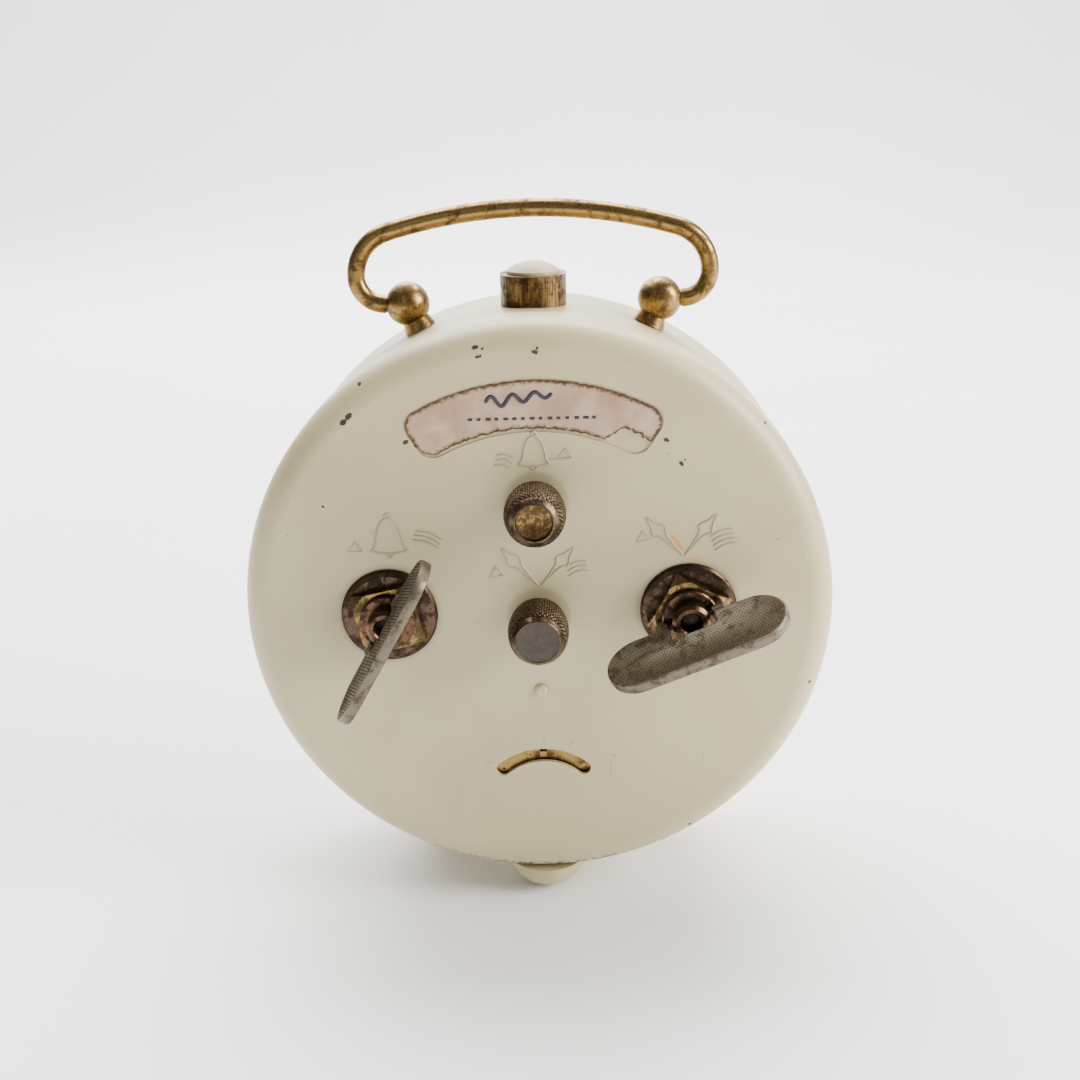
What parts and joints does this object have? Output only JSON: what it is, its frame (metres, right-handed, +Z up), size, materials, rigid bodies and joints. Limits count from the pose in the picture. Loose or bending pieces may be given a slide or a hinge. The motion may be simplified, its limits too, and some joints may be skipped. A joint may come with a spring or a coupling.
{
  "type": "wind-up alarm clock",
  "caption": "Round wind-up alarm clock in an enamelled metal case, with a swinging bail handle, a stop button, folding winding keys and setting knobs.",
  "frame": {"origin": "on the surface the clock stands on, under the middle of its box", "axes": "+Z up, the dial faces -Y, the keys and knobs point along +Y, the handle swings about X"},
  "size_m": [0.09, 0.051, 0.1105],
  "materials": {
    "enamel": "aged cream stove enamel, chipped at the edges",
    "brass": "aged brass with brown patina",
    "movement_brass": "plain brass",
    "bronze": "dark bronzed brass",
    "steel": "plain steel",
    "worn_steel": "stippled steel, tarnished",
    "glass": "clear glass",
    "dial": "matt painted dial",
    "paper": "faded pink paper"
  },
  "bodies": {
    "case": {"back_cover": "enamel", "case_drum": "enamel", "front_bezel": "brass", "crystal": "glass", "dial": "dial", "paper_label": "paper", "rear_foot": "enamel", "front_feet": "brass", "foot_nuts": "brass", "handle_posts": "brass", "post_nuts": "brass", "button_collar": "brass", "button_spring": "steel", "sounding_stud": "enamel", "arbor_bushings": "movement_brass", "key_washers": "bronze", "square_nuts": "bronze", "back_plate": "movement_brass", "front_plate": "movement_brass", "pillars": "movement_brass", "plate_nuts": "steel", "time_mainspring": "steel", "alarm_mainspring": "steel", "hairspring": "steel"},
    "handle": {"handle": "brass"},
    "button": {"button": "enamel", "button_ring": "steel"},
    "time_key": {"time_hub": "bronze", "time_arbor": "steel", "time_ratchet": "steel"},
    "time_wing": {"time_wing": "worn_steel"},
    "alarm_key": {"alarm_hub": "bronze", "alarm_arbor": "steel", "alarm_ratchet": "steel"},
    "alarm_wing": {"alarm_wing": "worn_steel"},
    "time_great_wheel": {"time_great_wheel": "movement_brass"},
    "time_click": {"time_click": "steel"},
    "alarm_great_wheel": {"alarm_great_wheel": "movement_brass"},
    "alarm_click": {"alarm_click": "steel"},
    "centre_wheel": {"centre_wheel": "movement_brass"},
    "third_wheel": {"third_wheel": "movement_brass"},
    "fourth_wheel": {"fourth_wheel": "movement_brass"},
    "escape_wheel": {"escape_wheel": "movement_brass"},
    "pallet_lever": {"pallet_lever": "steel"},
    "balance_wheel": {"balance_wheel": "movement_brass"},
    "regulator": {"regulator": "movement_brass"},
    "hand_setting": {"hand_knob": "bronze", "centre_arbor": "steel", "cannon_pinion": "steel", "minute_hand": "bronze"},
    "minute_wheel": {"minute_wheel": "movement_brass"},
    "hour_wheel": {"hour_wheel": "movement_brass", "hour_hand": "bronze"},
    "alarm_setting": {"alarm_knob": "bronze", "alarm_set_arbor": "steel"},
    "alarm_wheel": {"alarm_wheel": "movement_brass", "alarm_hand": "movement_brass"},
    "hammer_wheel": {"hammer_wheel": "movement_brass"},
    "alarm_hammer": {"alarm_hammer": "steel"}
  },
  "joints": [
    {"name": "handle_swing", "type": "hinge", "parent": "case", "child": "handle", "pos_m": [0, -0.01051, 0.095], "axis": [1, 0, 0], "range_deg": [-78, 78]},
    {"name": "button_press", "type": "slide", "parent": "case", "child": "button", "axis": [0, 0, -1], "range_m": [0, 0.0015], "stiffness_N_per_m": 150, "springref_m": -0.0015, "deforming": ["button_spring"]},
    {"name": "time_wind", "type": "hinge", "parent": "case", "child": "time_key", "pos_m": [-0.0226, 0.00999, 0.0515], "axis": [0, 1, 0], "continuous": true},
    {"name": "time_wing_fold", "type": "hinge", "parent": "time_key", "child": "time_wing", "pos_m": [-0.0226, 0.01479, 0.0515], "axis": [0.9304, 0, -0.3665], "range_deg": [-70, 100]},
    {"name": "alarm_wind", "type": "hinge", "parent": "case", "child": "alarm_key", "pos_m": [0.0226, 0.00999, 0.0515], "axis": [0, 1, 0], "continuous": true},
    {"name": "alarm_wing_fold", "type": "hinge", "parent": "alarm_key", "child": "alarm_wing", "pos_m": [0.0226, 0.01479, 0.0515], "axis": [0.5, 0, -0.866], "range_deg": [-81, 89]},
    {"name": "hand_set", "type": "hinge", "parent": "case", "child": "hand_setting", "pos_m": [0, 0.00999, 0.0505], "axis": [0, 1, 0], "continuous": true},
    {"name": "minute_wheel_turn", "type": "hinge", "parent": "case", "child": "minute_wheel", "pos_m": [-0.00761, 0.00999, 0.04695], "axis": [0, 1, 0], "continuous": true},
    {"name": "hour_wheel_turn", "type": "hinge", "parent": "case", "child": "hour_wheel", "pos_m": [0, 0.00999, 0.0505], "axis": [0, 1, 0], "continuous": true},
    {"name": "alarm_set", "type": "hinge", "parent": "case", "child": "alarm_setting", "pos_m": [0, 0.00999, 0.0687], "axis": [0, 1, 0], "continuous": true},
    {"name": "alarm_wheel_turn", "type": "hinge", "parent": "case", "child": "alarm_wheel", "pos_m": [0, 0.00999, 0.0505], "axis": [0, 1, 0], "continuous": true},
    {"name": "escape_spin", "type": "hinge", "parent": "case", "child": "escape_wheel", "pos_m": [0.00271, 0.00999, 0.02866], "axis": [0, 1, 0], "continuous": true},
    {"name": "fourth_spin", "type": "hinge", "parent": "case", "child": "fourth_wheel", "pos_m": [-0.0049, 0.00999, 0.0338], "axis": [0, 1, 0], "continuous": true},
    {"name": "third_spin", "type": "hinge", "parent": "case", "child": "third_wheel", "pos_m": [0.0041, 0.00999, 0.03859], "axis": [0, 1, 0], "continuous": true},
    {"name": "centre_spin", "type": "hinge", "parent": "case", "child": "centre_wheel", "pos_m": [0, 0.00999, 0.0505], "axis": [0, 1, 0], "continuous": true},
    {"name": "time_great_spin", "type": "hinge", "parent": "case", "child": "time_great_wheel", "pos_m": [-0.0226, 0.00999, 0.0515], "axis": [0, 1, 0], "continuous": true},
    {"name": "time_click_lift", "type": "hinge", "parent": "time_great_wheel", "child": "time_click", "pos_m": [-0.0242, 0.00999, 0.06056], "axis": [0, 1, 0], "range_deg": [-12, 0]},
    {"name": "lever_rock", "type": "hinge", "parent": "case", "child": "pallet_lever", "pos_m": [0.00115, 0.00999, 0.02225], "axis": [0, 1, 0], "range_deg": [-3, 3]},
    {"name": "balance_swing", "type": "hinge", "parent": "case", "child": "balance_wheel", "pos_m": [0, 0.00999, 0.0175], "axis": [0, 1, 0], "range_deg": [-200, 200], "stiffness_Nm_per_rad": 0.000006},
    {"name": "regulator_turn", "type": "hinge", "parent": "case", "child": "regulator", "pos_m": [0, 0.00999, 0.0175], "axis": [0, 1, 0], "range_deg": [-34, 34]},
    {"name": "hammer_spin", "type": "hinge", "parent": "case", "child": "hammer_wheel", "pos_m": [0.00615, 0.00999, 0.061], "axis": [0, 1, 0], "continuous": true},
    {"name": "alarm_great_spin", "type": "hinge", "parent": "case", "child": "alarm_great_wheel", "pos_m": [0.0226, 0.00999, 0.0515], "axis": [0, 1, 0], "continuous": true},
    {"name": "alarm_click_lift", "type": "hinge", "parent": "alarm_great_wheel", "child": "alarm_click", "pos_m": [0.0242, 0.00999, 0.06056], "axis": [0, 1, 0], "range_deg": [-12, 0]},
    {"name": "hammer_swing", "type": "hinge", "parent": "case", "child": "alarm_hammer", "pos_m": [0.0105, 0.00999, 0.0673], "axis": [0, 1, 0], "range_deg": [-3, 3]}
  ],
  "couplings": [
    {"joint": "minute_wheel_turn", "follows": "hand_set", "ratio": -0.33333},
    {"joint": "hour_wheel_turn", "follows": "hand_set", "ratio": 0.083333},
    {"joint": "alarm_wheel_turn", "follows": "alarm_set", "ratio": -0.33333},
    {"joint": "fourth_spin", "follows": "escape_spin", "ratio": -0.13333},
    {"joint": "third_spin", "follows": "escape_spin", "ratio": 0.017778},
    {"joint": "centre_spin", "follows": "escape_spin", "ratio": -0.0022222},
    {"joint": "time_great_spin", "follows": "escape_spin", "ratio": 0.00037037},
    {"joint": "alarm_great_spin", "follows": "hammer_spin", "ratio": -0.15152}
  ]
}
